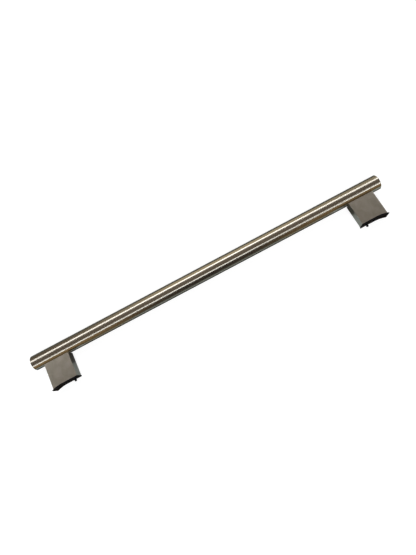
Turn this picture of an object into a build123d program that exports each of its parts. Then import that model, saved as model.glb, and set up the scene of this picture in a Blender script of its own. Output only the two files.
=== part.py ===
from build123d import *
from math import asin, degrees
import os

# Oven door handle: a round brushed bar on two flat posts, with a black spacer under each foot.
# Frame: X runs along the bar, +Y points at the door and +Z is up on the closed door.
# The origin lies on the door's face, midway between the two fixing holes.

# Bar
bar_diameter = 20.0
tube_wall = 1.2
tube_past_post = 14.75
tube_rim_chamfer = 0.5
axis_to_door = 43.5

# End caps, turned plugs pressed flush into the tube
cap_length = 6.0
cap_recess = 0.2
cap_rim_chamfer = 0.3
cap_lead_in = 1.0
cap_fit_gap = 0.03

# Posts
fixing_centres = 445.0
post_width = 34.5
post_thickness = 13.5
post_top_to_axis = 9.5
post_corner_radius = 0.5
post_top_chamfer = 0.3
cradle_gap = 0.02
foot_curve_length = 14.0
foot_curve_radius = 48.0

# Clamp screws that hold each post to the bar, two to a post
clamp_pitch = 22.0
clamp_web = 6.0
screw_diameter = 4.0
screw_length = 14.0
screw_head_diameter = 7.0
screw_head_height = 4.0
socket_across_flats = 3.0
socket_depth = 2.0
screw_hole_gap = 0.25
head_hole_gap = 0.5

# Split lock washers under the screw heads
washer_diameter = 7.0
washer_thickness = 0.9
washer_bore_gap = 0.1
washer_split = 0.8

# Nut bars, D-shaped, inside the tube
nut_bar_length = 34.0
nut_bar_flat_to_axis = 3.0
nut_bar_fit_gap = 0.05
thread_gap = 0.02

# Threaded inserts that take the screws from inside the door
insert_diameter = 8.0
insert_length = 14.0
insert_thread_bore = 4.2
insert_mouth_chamfer = 0.5
insert_recess = 0.3
insert_fit_gap = 0.02
screw_run_out = 5.0

# Spacers between the posts and the door
spacer_thickness = 1.5
spacer_overhang = 1.6
spacer_inner_lip = 0.5
spacer_nose_radius = 0.5
door_screw_hole = 6.0
plug_length = 4.0
plug_fit_gap = 0.05
plug_lead_in = 0.4
peg_diameter = 3.0
peg_length = 3.7
peg_tip_chamfer = 0.7

# Places worked out from the sizes above
axis_y = -axis_to_door
bar_radius = bar_diameter / 2
tube_bore_radius = bar_radius - tube_wall
post_x = fixing_centres / 2
inner_x = post_x - post_width / 2
outer_x = post_x + post_width / 2
tube_end_x = outer_x + tube_past_post
post_top_y = axis_y + post_top_to_axis
foot_y = -spacer_thickness
curve_start_x = outer_x - foot_curve_length
screw_floor_y = post_top_y + clamp_web
screw_seat_y = screw_floor_y + washer_thickness
clamp_x = (post_x - clamp_pitch / 2, post_x + clamp_pitch / 2)
screw_hole_radius = screw_diameter / 2 + screw_hole_gap
head_hole_radius = screw_head_diameter / 2 + head_hole_gap
past_foot = foot_curve_radius


def rod_y(radius, start, end, x):
    """Round solid along Y from start to end."""
    return Pos(x, (start + end) / 2, 0) * Rot(90, 0, 0) * Cylinder(radius, abs(end - start))


def rod_x(radius, start, end):
    """Round solid on the bar's axis from start to end."""
    return Pos((start + end) / 2, axis_y, 0) * Rot(0, 90, 0) * Cylinder(radius, end - start)


def foot_solid(top, inner_reach, outer_reach, below):
    """Block as thick as the post, from top down to the foot's line.

    The line is flat, then bends to the door in an arc at the outer end.
    It lies below the metal foot by the given distance, and runs past the post by the two reaches.
    """
    start_x = inner_x - inner_reach
    arc_radius = foot_curve_radius - below
    arc_angle = asin((foot_curve_length + outer_reach) / arc_radius)
    arc = CenterArc((curve_start_x, foot_y + foot_curve_radius), arc_radius, -90, degrees(arc_angle))
    end = arc @ 1
    flat = Polyline(arc @ 0, (start_x, foot_y + below), (start_x, top), (end.X, top), end)
    face = make_face(Curve() + [arc, flat])
    return extrude(face, post_thickness / 2, both=True)


def make_tube():
    """Bar tube with the clearance holes for the clamp screws on its door side."""
    tube = rod_x(bar_radius, -tube_end_x, tube_end_x)
    rims = tube.edges().filter_by(GeomType.CIRCLE)
    tube = chamfer(rims, tube_rim_chamfer)
    tube -= rod_x(tube_bore_radius, -tube_end_x, tube_end_x)
    for x in clamp_x:
        for side in (-1, 1):
            tube -= rod_y(screw_hole_radius, axis_y, axis_y + bar_diameter, side * x)
    return tube


def make_end_cap():
    """Turned plug that closes the end of the tube."""
    radius = tube_bore_radius - cap_fit_gap
    outline = Polyline(
        (0, 0),
        (0, radius - cap_rim_chamfer),
        (-cap_rim_chamfer, radius),
        (cap_lead_in - cap_length, radius),
        (-cap_length, radius - cap_lead_in),
        (-cap_length, 0),
        close=True,
    )
    return Pos(tube_end_x - cap_recess, axis_y, 0) * revolve(make_face(outline), Axis.X)


def make_nut_bar():
    """D-shaped steel bar in the tube, tapped for the two clamp screws."""
    start = post_x - nut_bar_length / 2
    end = post_x + nut_bar_length / 2
    bar = rod_x(tube_bore_radius - nut_bar_fit_gap, start, end)
    cut_height = bar_diameter
    cut_y = axis_y + nut_bar_flat_to_axis - cut_height / 2
    bar -= Pos(post_x, cut_y, 0) * Box(nut_bar_length, cut_height, bar_diameter)
    for x in clamp_x:
        bar -= rod_y(screw_diameter / 2 + thread_gap, axis_y, axis_y + bar_radius, x)
    return bar


def make_post():
    """Flat post: cradle for the bar, screw holes from the foot, insert bore in the middle."""
    post = foot_solid(post_top_y, 0, 0, 0)
    post = fillet(post.edges().filter_by(Axis.Y), post_corner_radius)
    post = chamfer(post.edges().group_by(Axis.Y)[0], post_top_chamfer)
    post -= rod_x(bar_radius + cradle_gap, inner_x - post_width, outer_x + post_width)
    for x in clamp_x:
        post -= rod_y(screw_hole_radius, axis_y, screw_floor_y, x)
        post -= rod_y(head_hole_radius, screw_floor_y, past_foot, x)
    bore_floor = foot_y - insert_recess - insert_length - screw_run_out
    return post - rod_y(insert_diameter / 2, bore_floor, past_foot, post_x)


def make_clamp_screw(x):
    """Socket head cap screw that pulls the nut bar and the bar onto the post."""
    head = rod_y(screw_head_diameter / 2, screw_seat_y, screw_seat_y + screw_head_height, x)
    shank = rod_y(screw_diameter / 2, screw_seat_y - screw_length, screw_seat_y, x)
    top = Plane.XZ.offset(-(screw_seat_y + screw_head_height))
    hexagon = top * Pos(x, 0) * RegularPolygon(socket_across_flats / 2, 6, major_radius=False)
    return head + shank - extrude(hexagon, socket_depth)


def make_lock_washer(x):
    """Split spring washer between the screw head and the floor of its hole."""
    washer = rod_y(washer_diameter / 2, screw_floor_y, screw_seat_y, x)
    washer -= rod_y(screw_diameter / 2 + washer_bore_gap, screw_floor_y, screw_seat_y, x)
    gap = Box(washer_diameter, washer_thickness, washer_split)
    middle_y = (screw_floor_y + screw_seat_y) / 2
    return washer - Pos(x + washer_diameter / 2, middle_y, 0) * gap


def make_threaded_insert():
    """Tapped bush pressed into the foot, chamfered where the door's screw enters."""
    mouth_y = foot_y - insert_recess
    back_y = mouth_y - insert_length
    bush = rod_y(insert_diameter / 2 - insert_fit_gap, back_y, mouth_y, post_x)
    bush -= rod_y(insert_thread_bore / 2, back_y, mouth_y, post_x)
    mouth = bush.faces().sort_by(Axis.Y)[-1].inner_wires().edges()
    return chamfer(mouth, insert_mouth_chamfer)


def make_spacer():
    """Moulded pad that follows the foot, with two plugs up into the post and a peg to the door."""
    plug_top_y = foot_y - plug_length
    pad = foot_solid(plug_top_y, spacer_inner_lip, spacer_overhang, spacer_thickness)
    pad -= foot_solid(plug_top_y, spacer_inner_lip, spacer_overhang, 0)
    nose = pad.edges().filter_by(Axis.Z).sort_by(Axis.X)[-2:]
    pad = fillet(nose, spacer_nose_radius)
    envelope = foot_solid(plug_top_y, 0, 0, spacer_thickness / 2)
    for x in clamp_x:
        plug = rod_y(head_hole_radius - plug_fit_gap, plug_top_y, past_foot, x)
        lead_in = plug.edges().filter_by(GeomType.CIRCLE).sort_by(Axis.Y)[0]
        pad += chamfer(lead_in, plug_lead_in) & envelope
    peg = rod_y(peg_diameter / 2, foot_y, peg_length, clamp_x[0])
    tip = peg.edges().filter_by(GeomType.CIRCLE).sort_by(Axis.Y)[-1]
    pad += chamfer(tip, peg_tip_chamfer)
    return pad - rod_y(door_screw_hole / 2, foot_y, 0, post_x)


def make_side():
    """The pieces of the +X end, by name."""
    pieces = {
        "end_cap": make_end_cap(),
        "nut_bar": make_nut_bar(),
        "post": make_post(),
        "threaded_insert": make_threaded_insert(),
        "spacer": make_spacer(),
    }
    for place, x in zip(("inner", "outer"), clamp_x):
        pieces[f"clamp_screw_{place}"] = make_clamp_screw(x)
        pieces[f"lock_washer_{place}"] = make_lock_washer(x)
    return pieces


def make_handle():
    """All pieces by node name, with the -X end as the mirror image of the +X end."""
    nodes = {"handle_tube": make_tube()}
    for name, piece in make_side().items():
        nodes[f"right_{name}"] = piece
        nodes[f"left_{name}"] = mirror(piece, Plane.YZ)
    return nodes


os.makedirs("parts", exist_ok=True)
for name, piece in make_handle().items():
    export_step(piece, f"parts/{name}.step")
    print(name, "volume", round(piece.volume, 1), "mm3")
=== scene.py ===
import math

import bpy
from mathutils import Matrix, Vector


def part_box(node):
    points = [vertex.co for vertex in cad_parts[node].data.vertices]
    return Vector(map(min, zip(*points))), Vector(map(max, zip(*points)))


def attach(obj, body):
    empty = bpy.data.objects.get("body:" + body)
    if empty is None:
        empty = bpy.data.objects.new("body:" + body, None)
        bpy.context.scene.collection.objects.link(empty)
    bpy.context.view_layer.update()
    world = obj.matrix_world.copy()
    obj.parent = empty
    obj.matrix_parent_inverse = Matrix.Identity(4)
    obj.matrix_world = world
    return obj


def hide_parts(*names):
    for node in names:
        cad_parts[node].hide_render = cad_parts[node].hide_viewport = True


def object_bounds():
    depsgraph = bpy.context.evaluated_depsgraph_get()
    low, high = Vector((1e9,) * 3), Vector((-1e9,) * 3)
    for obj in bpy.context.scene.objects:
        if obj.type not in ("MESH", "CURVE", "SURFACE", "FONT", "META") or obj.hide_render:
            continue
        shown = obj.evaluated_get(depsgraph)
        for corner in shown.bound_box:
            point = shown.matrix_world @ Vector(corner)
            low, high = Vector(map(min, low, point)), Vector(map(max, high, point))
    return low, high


# Oven door handle: finishes, fine threads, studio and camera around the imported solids.
# Metres, in the handle's own frame: X along the bar, +Y to the door, +Z up on the closed door.
# The pieces' right is the +X end. The cards' and mats' right is the camera's, which is the -X end.

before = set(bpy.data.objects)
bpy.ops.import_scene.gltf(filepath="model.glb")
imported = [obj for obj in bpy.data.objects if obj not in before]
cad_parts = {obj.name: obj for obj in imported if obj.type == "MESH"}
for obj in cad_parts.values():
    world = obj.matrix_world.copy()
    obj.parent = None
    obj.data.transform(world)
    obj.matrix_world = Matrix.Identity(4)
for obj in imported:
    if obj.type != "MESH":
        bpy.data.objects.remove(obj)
cad_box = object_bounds()

# Places read from the solids
bar_low, bar_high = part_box("handle_tube")
bar_radius = (bar_high.z - bar_low.z) / 2
bar_axis_y = (bar_high.y + bar_low.y) / 2

# Camera, worked out from the bar's edges and the lean of the posts
camera_place = Vector((0.0001, 0.1044, 0.4943))
camera_tilt = math.radians(15.88)
camera_roll = math.radians(27.9)
camera_lens_mm = 25.46
camera_sensor_mm = 36.0
camera_sees_from = 0.01
camera_sees_to = 50.0

# Clamp screws, M4, with their radii and their depths from the top of the head
screw_pitch = 0.0007
screw_root = 0.00157
screw_crest = 0.00198
screw_neck = 0.0019
screw_tip = 0.00135
screw_tip_length = 0.0006
screw_thread_from_head = 0.001
screw_run_in = 0.0002
head_height = 0.004
head_edge = 0.0004
head_knurl_from = 0.0006
head_knurl_to_seat = 0.0005
head_seat_edge = 0.0003
head_seat_edge_width = 0.0001
head_knurl_depth = 0.00012
socket_half_width = 0.0015
socket_mouth = 0.0018
socket_mouth_depth = 0.00015
socket_depth = 0.002

# Inserts, tapped M5, with their radii and their depths from the mouth
insert_pitch = 0.0008
insert_mouth = 0.0026
insert_root = 0.0025
insert_crest = 0.0021
insert_mouth_depth = 0.0003
insert_edge = 0.0004
insert_groove_depth = 0.0004
insert_knurl_depth = 0.00015
insert_knurl_from = 0.0006
insert_knurl_to_back = 0.0012
insert_back_lead = 0.0006
insert_half_groove = 0.001
insert_half_gap = 0.0016

# Thread form, as shares of a pitch, and the lathe that turns it
root_flat_to = 0.25
crest_from = 0.5625
crest_to = 0.6875
turning_steps = 48
seam_reach = 0.000001
sharp_edge = math.radians(30)

# Floor and plain light
white = (1.0, 1.0, 1.0, 1.0)
floor_below_bar = 0.0005
floor_size = 8.0
floor_shade = 0.3
floor_glow_near = 0.84
floor_glow_far = 1.0
lamp_light_from = 0.4
lamp_light_to = 1.8
plain_light = 0.22
lamp_size = 0.6
lamp_distance = 1.2
lamp_radiance = 6.3
bar_side_lamp_angle = -41.0
door_side_lamp_angle = 38.0

# Mats on the floor, from the bar's axis to the door side and from the middle to both ends; the band
# up to the lit mats is painted shadow
lit_mat_from_bar = 0.0215
lit_mat_width = 0.022
ochre_mat_from = 0.12
post_mat_from = 0.192

# Cards round the bar, with angles in degrees from straight above towards the door side
card_distance = 1.2
bar_side_card_edge = -92
door_side_card_edge = 92
upper_strip_reach = 11.0
lower_strip_reach = 7.0
# Glowing cards at the posts' ends, painted light over the shade in the grooves there
groove_glow_gap = 0.00005
groove_glow_from = 0.0035
groove_glow_below_edge = 0.0003

# Room for each node in the trees
node_spacing = 180


def feed(socket, value):
    """Link a socket to another one, or set its value."""
    if isinstance(value, bpy.types.NodeSocket):
        socket.id_data.links.new(value, socket)
    else:
        socket.default_value = value


def node(tree, kind, **settings):
    """New node of that kind, in a row after the others, with its settings."""
    made = tree.nodes.new(kind)
    made.location = (node_spacing * len(tree.nodes), 0)
    for name, value in settings.items():
        setattr(made, name, value)
    return made


def fill(made, **values):
    """Feed a node's sockets by name, with spaces written as underscores."""
    for name, value in values.items():
        feed(made.inputs[name.replace("_", " ")], value)
    return made


def maths(tree, operation, *values):
    """Math node on sockets or numbers, and its result."""
    made = node(tree, "ShaderNodeMath", operation=operation)
    for socket, value in zip(made.inputs, values):
        feed(socket, value)
    return made.outputs[0]


def vector_maths(tree, operation, *values):
    """Vector Math node on sockets or vectors, and the node."""
    made = node(tree, "ShaderNodeVectorMath", operation=operation)
    for socket, value in zip(made.inputs, values):
        feed(socket, value)
    return made


def scaled(tree, vector, by):
    """A vector multiplied part by part."""
    return vector_maths(tree, "MULTIPLY", vector, by).outputs[0]


def clamped(tree, value, low=0.0, high=1.0):
    """A value kept between two limits."""
    return fill(node(tree, "ShaderNodeClamp"), Value=value, Min=low, Max=high).outputs[0]


def noise(tree, vector, scale=1.0, detail=2.0, roughness=0.5, distortion=0.0):
    """Noise texture's value, from 0 to 1."""
    made = node(tree, "ShaderNodeTexNoise")
    fill(made, Vector=vector, Scale=scale, Detail=detail, Roughness=roughness)
    fill(made, Distortion=distortion)
    return made.outputs["Fac"]


def tone_of(tree, value):
    """A value from 0 to 1 as a tone from -1 to 1."""
    return maths(tree, "MULTIPLY", maths(tree, "SUBTRACT", value, 0.5), 2.0)


def new_group(name, inputs):
    """Empty shader group with its named inputs: (tree, their sockets)."""
    tree = bpy.data.node_groups.new(name, "ShaderNodeTree")
    for label, kind, value in inputs:
        socket = tree.interface.new_socket(name=label, in_out="INPUT", socket_type=kind)
        if value is not None:
            socket.default_value = value
    return tree, node(tree, "NodeGroupInput").outputs


def give(tree, **results):
    """Named outputs of a shader group, fed with its results. Each is a plain number."""
    for label in results:
        tree.interface.new_socket(name=label, in_out="OUTPUT", socket_type="NodeSocketFloat")
    fill(node(tree, "NodeGroupOutput"), **results)
    return tree


def make_brush_lines():
    """Straight brushed lines, fine and coarse, by the number of them along X, Y and Z."""
    tree, given = new_group(
        "brush lines",
        [
            ("Coordinates", "NodeSocketVector", None),
            ("Lines per metre", "NodeSocketVector", (4000.0, 60.0, 60.0)),
            ("Coarse share", "NodeSocketFloat", 0.25),
        ],
    )
    coarser = (0.22, 0.5, 0.5)
    at = scaled(tree, given["Coordinates"], given["Lines per metre"])
    fine = noise(tree, at, detail=3.0, roughness=0.7)
    coarse = noise(tree, scaled(tree, at, coarser), detail=2.0, roughness=0.6)
    fine_share = maths(tree, "SUBTRACT", 1.0, given["Coarse share"])
    fine_part = maths(tree, "MULTIPLY", fine, fine_share)
    coarse_part = maths(tree, "MULTIPLY", coarse, given["Coarse share"])
    lines = maths(tree, "ADD", fine_part, coarse_part)
    return give(tree, Height=lines, Tone=tone_of(tree, lines))


def make_turning_marks():
    """Rings left by a lathe round an axis along X or Y, from the distance to that axis."""
    tree, given = new_group(
        "turning marks",
        [
            ("From centre", "NodeSocketVector", None),
            ("Off the axis", "NodeSocketVector", (0.0, 1.0, 1.0)),
            ("Rings per metre", "NodeSocketFloat", 5000.0),
        ],
    )
    wobbles_per_metre = (90.0, 90.0, 90.0)
    flat = scaled(tree, given["From centre"], given["Off the axis"])
    distance = vector_maths(tree, "LENGTH", flat).outputs["Value"]
    rings = node(tree, "ShaderNodeCombineXYZ")
    fill(rings, X=maths(tree, "MULTIPLY", distance, given["Rings per metre"]))
    wobble = scaled(tree, given["From centre"], wobbles_per_metre)
    place = vector_maths(tree, "ADD", rings.outputs[0], wobble).outputs[0]
    marks = noise(tree, place, detail=3.0, roughness=0.65)
    return give(tree, Height=marks, Tone=tone_of(tree, marks))


def make_fine_grain():
    """Even speckle, for blasted metal and moulded plastic."""
    tree, given = new_group(
        "fine grain",
        [
            ("Coordinates", "NodeSocketVector", None),
            ("Grains per metre", "NodeSocketFloat", 2500.0),
        ],
    )
    grain = noise(tree, given["Coordinates"], given["Grains per metre"], detail=3.0, roughness=0.7)
    return give(tree, Height=grain, Tone=tone_of(tree, grain))


def make_soft_mottle():
    """Wide soft unevenness, as left by handling and wiping."""
    tree, given = new_group(
        "soft mottle",
        [
            ("Coordinates", "NodeSocketVector", None),
            ("Patches per metre", "NodeSocketFloat", 60.0),
        ],
    )
    patches = noise(tree, given["Coordinates"], given["Patches per metre"], distortion=0.6)
    return give(tree, Tone=tone_of(tree, patches))


brush_lines = make_brush_lines()
turning_marks = make_turning_marks()
fine_grain = make_fine_grain()
soft_mottle = make_soft_mottle()


def placed(tree, group, at, **values):
    """A shader group placed in a material on coordinates, with its own values: its outputs."""
    made = node(tree, "ShaderNodeGroup", node_tree=group)
    feed(made.inputs[0], at)
    return fill(made, **values).outputs


def new_material(name):
    """Material and its node tree."""
    material = bpy.data.materials.new(name)
    material.use_nodes = True
    return material, material.node_tree


def new_finish(name, **values):
    """Material with one Principled shader: (material, tree, shader, Object coordinates)."""
    material, tree = new_material(name)
    shader = fill(tree.nodes["Principled BSDF"], **values)
    return material, tree, shader, node(tree, "ShaderNodeTexCoord").outputs["Object"]


def centred(tree, at, x=0.0, y=0.0):
    """Coordinates moved so that a lathe's axis is at their origin."""
    return fill(node(tree, "ShaderNodeMapping"), Vector=at, Location=(-x, -y, 0.0)).outputs[0]


def spread(tree, *parts):
    """A half plus each tone times its weight, kept from 0 to 1."""
    total = 0.5
    for tone, weight in parts:
        total = maths(tree, "ADD", maths(tree, "MULTIPLY", tone, weight), total)
    return clamped(tree, total)


def ramp(tree, value, *shades):
    """Shades spread evenly over a value from 0 to 1."""
    made = fill(node(tree, "ShaderNodeValToRGB"), Fac=value)
    elements = made.color_ramp.elements
    while len(elements) < len(shades):
        elements.new(0.5)
    for place, (element, shade) in enumerate(zip(elements, shades)):
        element.position = place / (len(shades) - 1)
        element.color = (*shade, 1.0)
    return made.outputs["Color"]


def roughen(tree, shader, tone, middle, swing):
    """Roughness that swings round its middle with a tone."""
    fill(shader, Roughness=maths(tree, "MULTIPLY_ADD", tone, swing, middle))


def bump(tree, shader, height, depth, strength):
    """Height to the shader's normal, depth in metres."""
    made = fill(node(tree, "ShaderNodeBump"), Strength=strength, Distance=depth, Height=height)
    fill(shader, Normal=made.outputs["Normal"])


def stretch_round_the_bar(tree, shader):
    """Highlights stretched along the lines that run round the bar."""
    tangent = node(tree, "ShaderNodeTangent", direction_type="RADIAL", axis="X")
    fill(shader, Tangent=tangent.outputs[0])


def brushed_bar_steel():
    """Stainless tube, brushed round and round, so its lines run across the bar."""
    material, tree, shader, at = new_finish(
        "brushed bar steel", Metallic=1.0, Anisotropic=0.8, Anisotropic_Rotation=0.25
    )
    lines = placed(tree, brush_lines, at, Lines_per_metre=(4200.0, 15.0, 15.0), Coarse_share=0.25)
    mottle = placed(tree, soft_mottle, at, Patches_per_metre=35.0)
    tone = spread(tree, (lines["Tone"], 0.5), (mottle["Tone"], 0.15))
    shades = (0.41, 0.375, 0.315), (0.5, 0.46, 0.39), (0.58, 0.54, 0.47)
    fill(shader, Base_Color=ramp(tree, tone, *shades))
    roughen(tree, shader, lines["Tone"], middle=0.22, swing=0.02)
    bump(tree, shader, lines["Height"], depth=0.000004, strength=0.2)
    stretch_round_the_bar(tree, shader)
    return material


def turned_cap_steel():
    """End plug, faced on a lathe."""
    material, tree, shader, at = new_finish("turned cap steel", Metallic=1.0, Anisotropic=0.5)
    from_axis = centred(tree, at, y=bar_axis_y)
    across = (0.0, 1.0, 1.0)
    rings = placed(tree, turning_marks, from_axis, Off_the_axis=across, Rings_per_metre=4200.0)
    shades = (0.36, 0.325, 0.275), (0.45, 0.41, 0.35), (0.52, 0.48, 0.42)
    fill(shader, Base_Color=ramp(tree, spread(tree, (rings["Tone"], 0.6)), *shades))
    roughen(tree, shader, rings["Tone"], middle=0.34, swing=0.08)
    bump(tree, shader, rings["Height"], depth=0.00001, strength=0.4)
    stretch_round_the_bar(tree, shader)
    return material


def satin_post_metal():
    """Posts in warm grey satin, with a very fine blasted grain."""
    material, tree, shader, at = new_finish("satin post metal", Metallic=0.8)
    grain = placed(tree, fine_grain, at, Grains_per_metre=2200.0)
    mottle = placed(tree, soft_mottle, at, Patches_per_metre=110.0)
    tone = spread(tree, (grain["Tone"], 0.35), (mottle["Tone"], 0.9))
    shades = (0.285, 0.265, 0.215), (0.33, 0.297, 0.247), (0.375, 0.335, 0.285)
    fill(shader, Base_Color=ramp(tree, tone, *shades))
    roughen(tree, shader, mottle["Tone"], middle=0.29, swing=0.03)
    bump(tree, shader, grain["Height"], depth=0.00002, strength=0.25)
    return material


def moulded_black_plastic():
    """Spacers in black plastic with a fine moulded grain."""
    material, tree, shader, at = new_finish("moulded black plastic", Specular_IOR_Level=0.1)
    grain = placed(tree, fine_grain, at, Grains_per_metre=3000.0)
    mottle = placed(tree, soft_mottle, at, Patches_per_metre=120.0)
    tone = spread(tree, (grain["Tone"], 0.5), (mottle["Tone"], 0.3))
    shades = (0.002, 0.0025, 0.004), (0.0035, 0.004, 0.006), (0.006, 0.0065, 0.009)
    fill(shader, Base_Color=ramp(tree, tone, *shades))
    roughen(tree, shader, grain["Tone"], middle=0.55, swing=0.08)
    bump(tree, shader, grain["Height"], depth=0.00004, strength=0.4)
    return material


def plated_steel(name, dark, light, rough):
    """Zinc plate over steel, for what sits inside: bright with a faint mottle."""
    material, tree, shader, at = new_finish(name, Metallic=1.0)
    grain = placed(tree, fine_grain, at, Grains_per_metre=1800.0)
    mottle = placed(tree, soft_mottle, at, Patches_per_metre=260.0)
    tone = spread(tree, (grain["Tone"], 0.3), (mottle["Tone"], 0.6))
    fill(shader, Base_Color=ramp(tree, tone, dark, light))
    roughen(tree, shader, mottle["Tone"], middle=rough, swing=0.08)
    bump(tree, shader, grain["Height"], depth=0.00001, strength=0.3)
    return material


def turned_brass(name, centre_x):
    """Inserts, turned from brass bar, with rings round their own bore."""
    material, tree, shader, at = new_finish(name, Metallic=1.0)
    from_axis = centred(tree, at, x=centre_x)
    across = (1.0, 0.0, 1.0)
    rings = placed(tree, turning_marks, from_axis, Off_the_axis=across, Rings_per_metre=6000.0)
    shades = (0.55, 0.40, 0.17), (0.72, 0.56, 0.28), (0.82, 0.68, 0.40)
    fill(shader, Base_Color=ramp(tree, spread(tree, (rings["Tone"], 0.6)), *shades))
    roughen(tree, shader, rings["Tone"], middle=0.3, swing=0.08)
    bump(tree, shader, rings["Height"], depth=0.00001, strength=0.3)
    return material


def turning_grid(tree, rows, steps):
    """Grid to be turned, and the outline's row and the share of a turn at each of its points."""
    grid = fill(node(tree, "GeometryNodeMeshGrid"), Size_X=1.0, Size_Y=1.0)
    fill(grid, Vertices_X=rows, Vertices_Y=maths(tree, "ADD", steps, 1.0))
    spot = node(tree, "ShaderNodeSeparateXYZ")
    fill(spot, Vector=node(tree, "GeometryNodeInputPosition").outputs[0])
    along = maths(tree, "ADD", spot.outputs["X"], 0.5)
    last_row = maths(tree, "SUBTRACT", rows, 1.0)
    row = maths(tree, "ROUND", maths(tree, "MULTIPLY", along, last_row))
    turn = maths(tree, "ADD", spot.outputs["Y"], 0.5)
    return grid.outputs["Mesh"], row, turn


def row_parts(tree, outline, value, row):
    """The three parts of a vector at the outline's point for that row."""
    sample = node(tree, "GeometryNodeSampleIndex", data_type="FLOAT_VECTOR", domain="POINT")
    fill(sample, Geometry=outline, Value=value, Index=row)
    parts = fill(node(tree, "ShaderNodeSeparateXYZ"), Vector=sample.outputs[0])
    return list(parts.outputs)


def follow_thread(tree, given, turn, radius, end_radius, depth, climbs):
    """Radius and depth of a point that climbs with the thread and runs out at its ends."""
    start, end = given["Thread start"], given["Thread end"]
    climbed = maths(tree, "MULTIPLY_ADD", turn, given["Pitch"], depth)
    rise = maths(tree, "SUBTRACT", clamped(tree, climbed, start, end), depth)
    depth = maths(tree, "MULTIPLY_ADD", rise, climbs, depth)
    from_start = maths(tree, "SUBTRACT", depth, start)
    from_end = maths(tree, "SUBTRACT", end, depth)
    from_nearest = maths(tree, "MINIMUM", from_start, from_end)
    full = clamped(tree, maths(tree, "DIVIDE", from_nearest, given["Run-out"]))
    cut = maths(tree, "SUBTRACT", radius, end_radius)
    return maths(tree, "MULTIPLY_ADD", cut, full, end_radius), depth


def knurled(tree, radius, turn, steps, knurl):
    """Radius made smaller by the knurl's depth at every second step of the turn."""
    step = maths(tree, "ROUND", maths(tree, "MULTIPLY", turn, steps))
    odd = maths(tree, "MODULO", step, 2.0)
    return maths(tree, "SUBTRACT", radius, maths(tree, "MULTIPLY", odd, knurl))


def hexagonal(tree, radius, angle, six_sided):
    """Radius that reaches out to the corners of a hexagon where its point is six-sided."""
    side = math.tau / 6
    in_side = maths(tree, "MODULO", angle, side)
    from_flat = maths(tree, "SUBTRACT", in_side, side / 2)
    reach = maths(tree, "DIVIDE", 1.0, maths(tree, "COSINE", from_flat))
    corner = maths(tree, "SUBTRACT", reach, 1.0)
    return maths(tree, "MULTIPLY", radius, maths(tree, "MULTIPLY_ADD", corner, six_sided, 1.0))


def around(tree, radius, angle, depth, place):
    """Point at a radius and an angle round an axis along Y, at a depth from the place."""
    point = node(tree, "ShaderNodeCombineXYZ")
    fill(
        point,
        X=maths(tree, "MULTIPLY", radius, maths(tree, "COSINE", angle)),
        Y=maths(tree, "MULTIPLY", depth, -1.0),
        Z=maths(tree, "MULTIPLY", radius, maths(tree, "SINE", angle)),
    )
    return vector_maths(tree, "ADD", point.outputs[0], place).outputs[0]


def then(tree, kind, geometry, **values):
    """Next Geometry node on the geometry so far, and its result."""
    made = fill(node(tree, kind), **values)
    feed(made.inputs[0], geometry)
    return made.outputs[0]


def make_thread_lathe():
    """Geometry tree that turns an outline round an axis along Y, while its thread climbs.

    A point of the outline has its radius as X, its radius at the thread's ends as Y and its depth
    from the door side as Z. Its "kind" says if it climbs, how deep its knurl is and if it is
    six-sided.
    """
    tree = bpy.data.node_groups.new("thread lathe", "GeometryNodeTree")
    for label, socket_type in (
        ("Outline", "NodeSocketGeometry"),
        ("Place", "NodeSocketVector"),
        ("Steps", "NodeSocketInt"),
        ("Pitch", "NodeSocketFloat"),
        ("Thread start", "NodeSocketFloat"),
        ("Thread end", "NodeSocketFloat"),
        ("Run-out", "NodeSocketFloat"),
        ("Finish", "NodeSocketMaterial"),
    ):
        tree.interface.new_socket(name=label, in_out="INPUT", socket_type=socket_type)
    tree.interface.new_socket(name="Piece", in_out="OUTPUT", socket_type="NodeSocketGeometry")
    given = node(tree, "NodeGroupInput").outputs
    outline = given["Outline"]

    size = fill(node(tree, "GeometryNodeAttributeDomainSize", component="MESH"), Geometry=outline)
    grid, row, turn = turning_grid(tree, size.outputs["Point Count"], given["Steps"])
    position = node(tree, "GeometryNodeInputPosition").outputs[0]
    kind = node(tree, "GeometryNodeInputNamedAttribute", data_type="FLOAT_VECTOR")
    fill(kind, Name="kind")
    radius, end_radius, depth = row_parts(tree, outline, position, row)
    climbs, knurl, six_sided = row_parts(tree, outline, kind.outputs[0], row)
    radius, depth = follow_thread(tree, given, turn, radius, end_radius, depth, climbs)
    radius = knurled(tree, radius, turn, given["Steps"], knurl)
    angle = maths(tree, "MULTIPLY", turn, math.tau)
    radius = hexagonal(tree, radius, angle, six_sided)
    spot = around(tree, radius, angle, depth, given["Place"])

    turned = then(tree, "GeometryNodeSetPosition", grid, Position=spot)
    closed = then(tree, "GeometryNodeMergeByDistance", turned, Distance=seam_reach)
    outwards = then(tree, "GeometryNodeFlipFaces", closed)
    whole = then(tree, "GeometryNodeRealizeInstances", outwards)
    finished = then(tree, "GeometryNodeSetMaterial", whole, Material=given["Finish"])
    fill(node(tree, "NodeGroupOutput"), Piece=finished)
    return tree


thread_lathe = make_thread_lathe()


def still(radius, depth, knurl=0.0, six_sided=0.0):
    """Point of an outline that doesn't climb: (radius, radius at the ends, depth, kind)."""
    return radius, radius, depth, (0.0, knurl, six_sided)


def thread_rows(start, end, pitch, root, crest):
    """Points of a 60 degree thread from start to end, one pitch long for each turn and one more.

    It runs out to its root at both ends.
    """
    form = (0.0, root), (root_flat_to, root), (crest_from, crest), (crest_to, crest)
    rows = []
    for turn in range(math.ceil((end - start) / pitch) + 1):
        first = start + (turn - 1) * pitch
        rows += [(radius, root, first + share * pitch, (1.0, 0.0, 0.0)) for share, radius in form]
    return rows


def new_object(name, data):
    """Object in the scene that holds a mesh, lamp or camera."""
    made = bpy.data.objects.new(name, data)
    bpy.context.scene.collection.objects.link(made)
    return made


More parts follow.
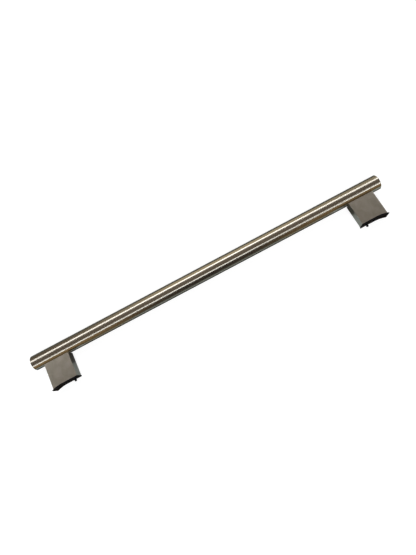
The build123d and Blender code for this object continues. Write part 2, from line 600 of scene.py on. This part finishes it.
def turn_piece(name, node_name, outline, pitch, thread, finish):
    """Closed mesh turned from an outline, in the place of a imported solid."""
    low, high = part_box(node_name)
    profile = bpy.data.meshes.new(f"{name} outline")
    profile.from_pydata([row[:3] for row in outline], [], [])
    kind = profile.attributes.new("kind", "FLOAT_VECTOR", "POINT")
    kind.data.foreach_set("vector", [part for row in outline for part in row[3]])
    blank = new_object(f"{name} outline", profile)
    values = {
        "Place": ((low.x + high.x) / 2, high.y, (low.z + high.z) / 2),
        "Steps": turning_steps,
        "Pitch": pitch,
        "Thread start": thread[0],
        "Thread end": thread[1],
        "Run-out": pitch,
        "Finish": finish,
    }
    modifier = blank.modifiers.new("thread lathe", "NODES")
    modifier.node_group = thread_lathe
    for socket in thread_lathe.interface.items_tree:
        if socket.in_out == "INPUT" and socket.name in values:
            modifier[socket.identifier] = values[socket.name]
    ready = blank.evaluated_get(bpy.context.evaluated_depsgraph_get())
    turned = bpy.data.meshes.new_from_object(ready)
    turned.name = name
    # The grid brings an empty slot before the finish
    turned.materials.pop(index=0)
    bpy.data.objects.remove(blank)
    bpy.data.meshes.remove(profile)
    turned.shade_smooth()
    turned.set_sharp_from_angle(angle=sharp_edge)
    piece = new_object(name, turned)
    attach(piece, "root")
    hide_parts(node_name)


def dress_screw(node_name, finish):
    """Socket head cap screw with its knurled head, hexagon socket and M4 thread."""
    low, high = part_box(node_name)
    head = (high.z - low.z) / 2
    length = high.y - low.y
    start = head_height + screw_thread_from_head
    end = length - screw_tip_length
    outline = [
        still(0.0, socket_depth),
        still(socket_half_width, socket_depth, six_sided=1.0),
        still(socket_half_width, socket_mouth_depth, six_sided=1.0),
        still(socket_mouth, 0.0),
        still(head - head_edge, 0.0),
        still(head, head_edge),
        still(head, head_knurl_from, knurl=head_knurl_depth),
        still(head, head_height - head_knurl_to_seat, knurl=head_knurl_depth),
        still(head, head_height - head_seat_edge),
        still(head - head_seat_edge_width, head_height),
        still(screw_neck, head_height),
        still(screw_neck, start - screw_run_in),
        *thread_rows(start, end, screw_pitch, screw_root, screw_crest),
        still(screw_root, end),
        still(screw_tip, length),
        still(0.0, length),
    ]
    name = f"threaded_{node_name}"
    turn_piece(name, node_name, outline, screw_pitch, (start, end), finish)


def dress_insert(side):
    """Tapped brass bush with two knurled bands and an M5 thread."""
    node_name = f"{side}_threaded_insert"
    low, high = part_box(node_name)
    outside = (high.z - low.z) / 2
    length = high.y - low.y
    groove = outside - insert_groove_depth
    knurl = insert_knurl_depth
    start = insert_mouth_depth
    end = length - insert_mouth_depth
    outline = [
        still(insert_mouth, 0.0),
        still(groove, 0.0),
        still(outside, insert_edge),
        still(outside, insert_knurl_from, knurl),
        still(outside, length / 2 - insert_half_gap, knurl),
        still(groove, length / 2 - insert_half_groove),
        still(groove, length / 2 + insert_half_groove),
        still(outside, length / 2 + insert_half_gap, knurl),
        still(outside, length - insert_knurl_to_back, knurl),
        still(groove, length - insert_back_lead),
        still(groove, length),
        still(insert_mouth, length),
        still(insert_root, end),
        *reversed(thread_rows(start, end, insert_pitch, insert_root, insert_crest)),
        still(insert_mouth, 0.0),
    ]
    finish = turned_brass(f"turned brass {side}", (low.x + high.x) / 2)
    name = f"tapped_{node_name}"
    turn_piece(name, node_name, outline, insert_pitch, (start, end), finish)


def dress(name, material):
    """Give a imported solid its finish."""
    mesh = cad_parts[name].data
    mesh.materials.clear()
    mesh.materials.append(material)


def dress_solids():
    """Every solid in its finish, the same on both ends."""
    dress("handle_tube", brushed_bar_steel())
    cap = turned_cap_steel()
    post = satin_post_metal()
    spacer = moulded_black_plastic()
    zinc = plated_steel("zinc plated screw steel", (0.42, 0.42, 0.41), (0.62, 0.62, 0.60), 0.33)
    spring = plated_steel("zinc plated spring steel", (0.33, 0.33, 0.33), (0.52, 0.52, 0.51), 0.38)
    tapped = plated_steel("zinc plated bar steel", (0.36, 0.37, 0.38), (0.54, 0.55, 0.56), 0.42)
    for side in ("right", "left"):
        dress(f"{side}_end_cap", cap)
        dress(f"{side}_post", post)
        dress(f"{side}_spacer", spacer)
        dress(f"{side}_nut_bar", tapped)
        dress_insert(side)
        for place in ("inner", "outer"):
            dress_screw(f"{side}_clamp_screw_{place}", zinc)
            dress(f"{side}_lock_washer_{place}", spring)


def one_face(name, corners):
    """Mesh of one flat face."""
    mesh = bpy.data.meshes.new(name)
    mesh.from_pydata(corners, [], [(0, 1, 2, 3)])
    return mesh


def seen_or_mirrored(tree):
    """1 for what is seen, mirrored or looked through, and 0 for the light that it gives."""
    path = node(tree, "ShaderNodeLightPath").outputs
    seen = maths(tree, "MAXIMUM", path["Is Camera Ray"], path["Is Glossy Ray"])
    return maths(tree, "MAXIMUM", seen, path["Is Transmission Ray"])


def make_floor():
    """Plain white floor just under the bar, that keeps the handle's shadow.

    It glows a little more where the lamps no longer reach, and is clear from below.
    """
    height = cad_box[0].z - floor_below_bar
    half = floor_size / 2
    ends = (-half, -half), (half, -half), (half, half), (-half, half)
    mesh = one_face("floor", [(x, y, height) for x, y in ends])
    floor = new_object("floor", mesh)
    material, tree, shader, at = new_finish(
        "white floor",
        Base_Color=(floor_shade, floor_shade, floor_shade, 1.0),
        Roughness=0.9,
        Specular_IOR_Level=0.0,
    )
    lift = node(tree, "ShaderNodeMapRange")
    fill(lift, Value=vector_maths(tree, "LENGTH", at).outputs["Value"])
    fill(lift, From_Min=lamp_light_from, From_Max=lamp_light_to)
    fill(lift, To_Min=floor_glow_near, To_Max=floor_glow_far)
    glow = fill(node(tree, "ShaderNodeEmission"), Color=white)
    fill(glow, Strength=maths(tree, "MULTIPLY", seen_or_mirrored(tree), lift.outputs[0]))
    both = node(tree, "ShaderNodeAddShader")
    feed(both.inputs[0], shader.outputs[0])
    feed(both.inputs[1], glow.outputs[0])
    either = node(tree, "ShaderNodeMixShader")
    feed(either.inputs[0], node(tree, "ShaderNodeNewGeometry").outputs["Backfacing"])
    feed(either.inputs[1], both.outputs[0])
    feed(either.inputs[2], node(tree, "ShaderNodeBsdfTransparent").outputs[0])
    fill(tree.nodes["Material Output"], Surface=either.outputs[0])
    mesh.materials.append(material)


def make_world():
    """White all round for what is seen and mirrored, plain soft light for the rest."""
    world = bpy.data.worlds.new("studio")
    bpy.context.scene.world = world
    world.use_nodes = True
    tree = world.node_tree
    tree.nodes.clear()
    seen = seen_or_mirrored(tree)
    strength = maths(tree, "MULTIPLY_ADD", seen, 1.0 - plain_light, plain_light)
    light = fill(node(tree, "ShaderNodeBackground"), Color=white, Strength=strength)
    fill(node(tree, "ShaderNodeOutputWorld"), Surface=light.outputs[0])


def make_lamp(name, angle):
    """Soft square lamp, at an angle in degrees from straight above towards the door side.

    The metal mirrors the cards in its place.
    """
    data = bpy.data.lights.new(name, "AREA")
    data.size = lamp_size
    data.energy = lamp_radiance * math.pi * lamp_size**2
    lamp = new_object(name, data)
    back = Vector((0.0, math.sin(math.radians(angle)), math.cos(math.radians(angle))))
    lamp.location = Vector((0.0, bar_axis_y, 0.0)) + back * lamp_distance
    right = Vector((1.0, 0.0, 0.0))
    lamp.rotation_euler = Matrix((right, back.cross(right), back)).transposed().to_euler()
    lamp.visible_camera = False
    lamp.visible_glossy = False


def show_only_in_metal(piece):
    """A card or mat that only glossy reflections see."""
    for ray in ("camera", "diffuse", "transmission", "volume_scatter", "shadow"):
        setattr(piece, f"visible_{ray}", False)


def make_mat(name, across, deep, shade):
    """Mat on the floor that the metal's edges mirror, from its two reaches along X and Y."""
    height = cad_box[0].z - floor_below_bar / 2
    ends = (0, 0), (1, 0), (1, 1), (0, 1)
    mesh = one_face(name, [(across[i], deep[j], height) for i, j in ends])
    material, tree = new_material(name)
    shader = fill(tree.nodes["Principled BSDF"], Base_Color=(*shade, 1.0))
    fill(shader, Roughness=1.0, Specular_IOR_Level=0.0)
    mesh.materials.append(material)
    show_only_in_metal(new_object(name, mesh))


def make_mats():
    """What the lower edges of the bar and posts mirror, bar side to door side, with painted shadow
    by the bar.
    """
    far = floor_size / 2
    under_from = bar_axis_y - bar_radius
    lit_from = bar_axis_y + lit_mat_from_bar
    lit_to = lit_from + lit_mat_width
    under = (under_from, lit_from)
    lit = (lit_from, lit_to)
    door_side = (lit_to, far)
    middle = (-ochre_mat_from, ochre_mat_from)
    post_shades = ((-1, "right", (0.54, 0.63, 0.64)), (1, "left", (0.44, 0.51, 0.53)))
    make_mat("bar side mat", (-far, far), (-far, under_from), (0.16, 0.165, 0.15))
    # Dark mats from the bar to the lit band: the bar's shadow on the floor, painted, for the metal
    # to mirror
    make_mat("painted shadow mat under the bar", (-post_mat_from, far), under, (0.05, 0.06, 0.06))
    make_mat("painted shadow mat under the right end", (-far, -post_mat_from), under, (0.1, 0.115, 0.1))
    make_mat("mat in the middle", middle, lit, (0.35, 0.39, 0.37))
    for side, name, shade in post_shades:
        inner = side * ochre_mat_from
        post = side * post_mat_from
        end = side * far
        make_mat(f"mat {name} of the middle", sorted((inner, post)), lit, (0.33, 0.33, 0.27))
        make_mat(f"mat at the {name} post", sorted((post, end)), lit, shade)
        make_mat(f"door side mat {name}", sorted((inner, end)), door_side, (0.195, 0.145, 0.08))
    make_mat("door side mat middle", middle, door_side, (0.09, 0.09, 0.085))


def new_glow(name, shade):
    """Material that only glows: (material, its emission node)."""
    material, tree = new_material(name)
    tree.nodes.clear()
    glow = fill(node(tree, "ShaderNodeEmission"), Color=(*shade, 1.0))
    fill(node(tree, "ShaderNodeOutputMaterial"), Surface=glow.outputs[0])
    return material, glow


def make_card(name, stations, shade):
    """Long card that only the metal sees: (its mesh, its emission node).

    Each station gives a place along the bar and the angles of the card's two edges there.
    """
    corners = []
    for along, *edges in stations:
        for angle in map(math.radians, edges):
            side = Vector((0.0, math.sin(angle), math.cos(angle))) * card_distance
            corners.append(side + Vector((along, bar_axis_y, 0.0)))
    mesh = bpy.data.meshes.new(name)
    faces = [(i, i + 1, i + 3, i + 2) for i in range(0, len(corners) - 2, 2)]
    mesh.from_pydata(corners, [], faces)
    material, glow = new_glow(name, shade)
    mesh.materials.append(material)
    show_only_in_metal(new_object(name, mesh))
    return mesh, glow


def make_strip(name, stations, reach, before, peak, after):
    """Soft bright strip along the bar that fades on both edges into the cards beside it.

    Each station gives a place along the bar, the angle of the strip's middle and its level there.
    """
    edges = [(along, angle - reach, angle + reach) for along, angle, _ in stations]
    mesh, glow = make_card(name, edges, peak)
    tree = glow.id_data
    brightest = max(peak)
    across = mesh.attributes.new("across", "FLOAT", "POINT")
    across.data.foreach_set("value", [0.0, 1.0] * len(stations))
    level = mesh.attributes.new("level", "FLOAT", "POINT")
    level.data.foreach_set("value", [at * brightest for _, _, at in stations for _ in range(2)])
    place = node(tree, "ShaderNodeAttribute", attribute_name="across").outputs["Fac"]
    shades = [[part / brightest for part in shade] for shade in (before, peak, after)]
    colour = ramp(tree, place, *shades)
    colour.node.color_ramp.interpolation = "EASE"
    strength = node(tree, "ShaderNodeAttribute", attribute_name="level").outputs["Fac"]
    fill(glow, Color=colour, Strength=strength)


def between(first, second):
    """Stations of a card that fills the space between two rows of places and angles."""
    return [(along, angle, other) for (along, angle), (_, other) in zip(first, second)]


def turned_by(stations, angle):
    """Places and angles of a strip's stations, turned by some degrees."""
    return [(along, middle + angle) for along, middle, _ in stations]


def edge_beside(stations, angle):
    """The straight outer edge of the cards beside a strip, at the places of its stations."""
    return [(along, angle) for along, _, _ in stations]


def make_cards():
    """What the bar mirrors, from the bar side over the top to the door side."""
    far_tan = (0.41, 0.365, 0.28)
    tan = (0.64, 0.56, 0.41)
    brown = (0.38, 0.335, 0.26)
    dark_brown = (0.14, 0.115, 0.085)
    grey = (0.15, 0.125, 0.1)
    middle_grey = (0.19, 0.16, 0.13)
    black = (0.025, 0.025, 0.025)
    ochre_right = (0.3, 0.21, 0.105)
    ochre_left = (0.37, 0.255, 0.125)
    bright = (4.6, 4.7, 4.85)
    dim = (3.15, 3.3, 3.45)
    upper = [
        (-2.0, -14, 0.8),
        (-0.8, -31.5, 0.82),
        (-0.5, -38.7, 0.92),
        (0.0, -40.5, 0.96),
        (0.5, -33.5, 0.87),
        (0.8, -28, 0.84),
        (2.0, -5, 0.8),
    ]
    lower = [
        (-2.0, 70, 1.1),
        (-0.8, 51, 1.45),
        (-0.52, 39.5, 0.88),
        (-0.4, 36.5, 0.82),
        (0.0, 35.5, 1.08),
        (0.4, 43, 1.0),
        (0.8, 52, 1.15),
        (2.0, 72, 1.1),
    ]
    reach = upper_strip_reach
    make_strip("bar side strip right", upper[:3], reach, far_tan, bright, grey)
    make_strip("bar side strip middle", upper[2:5], reach, tan, bright, middle_grey)
    make_strip("bar side strip left", upper[4:], reach, dark_brown, bright, grey)
    reach = lower_strip_reach
    make_strip("door side strip right", lower[:4], reach, grey, dim, black)
    make_strip("door side strip middle", lower[3:6], reach, middle_grey, dim, black)
    make_strip("door side strip left", lower[5:], reach, grey, dim, black)

    upper_before = turned_by(upper, -upper_strip_reach)
    upper_after = turned_by(upper, upper_strip_reach)
    lower_before = turned_by(lower[:2] + lower[3:], -lower_strip_reach)
    lower_after = turned_by(lower, lower_strip_reach)
    first = between(edge_beside(upper, bar_side_card_edge), upper_before)
    over = between(upper_after, lower_before)
    last = between(lower_after, edge_beside(lower, door_side_card_edge))
    tan_end = (0.25, bar_side_card_edge, -37 - upper_strip_reach)
    make_card("far tan card", first[:3], far_tan)
    make_card("tan card", [first[2], first[3], tan_end], tan)
    make_card("brown card", [tan_end, first[4]], brown)
    make_card("dark brown card", first[4:], dark_brown)
    make_card("grey card right", over[:3], grey)
    make_card("grey card middle", over[2:5], middle_grey)
    make_card("grey card left", over[4:], grey)
    make_card("ochre card right", last[:4], ochre_right)
    make_card("black card", last[3:6], black)
    make_card("ochre card left", last[5:], ochre_left)


def make_painted_light_groove_card(node_name, shade):
    """Glowing card at a post's end, painted light over the groove's shade, which the bar mirrors
    beside the post.
    """
    low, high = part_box(node_name)
    name = f"painted light groove card {node_name}"
    near = low.y - groove_glow_gap
    top = high.z - groove_glow_below_edge
    ends = (low.x, groove_glow_from), (high.x, groove_glow_from), (high.x, top), (low.x, top)
    mesh = one_face(name, [(x, near, z) for x, z in ends])
    material, _ = new_glow(name, shade)
    mesh.materials.append(material)
    show_only_in_metal(new_object(name, mesh))


def make_camera():
    """Camera above the handle, tilted to the foot side and rolled as in the photograph."""
    back = Vector((0.0, math.sin(camera_tilt), math.cos(camera_tilt)))
    level_right = Vector((-1.0, 0.0, 0.0))
    level_up = back.cross(level_right)
    right = math.cos(camera_roll) * level_right - math.sin(camera_roll) * level_up
    up = math.sin(camera_roll) * level_right + math.cos(camera_roll) * level_up
    data = bpy.data.cameras.new("camera")
    data.lens = camera_lens_mm
    data.sensor_width = camera_sensor_mm
    data.clip_start = camera_sees_from
    data.clip_end = camera_sees_to
    camera = new_object("camera", data)
    turn = Matrix((right, up, back)).transposed().to_4x4()
    camera.matrix_world = Matrix.Translation(camera_place) @ turn
    bpy.context.scene.camera = camera


dress_solids()
make_floor()
make_mats()
make_world()
make_lamp("bar side lamp", bar_side_lamp_angle)
make_lamp("door side lamp", door_side_lamp_angle)
make_cards()
# Glow painted over the shade in the grooves at the posts' ends
make_painted_light_groove_card("right_post", (0.22, 0.17, 0.1))
make_painted_light_groove_card("left_post", (0.13, 0.095, 0.055))
make_camera()

bpy.context.scene.view_settings.view_transform = "Standard"
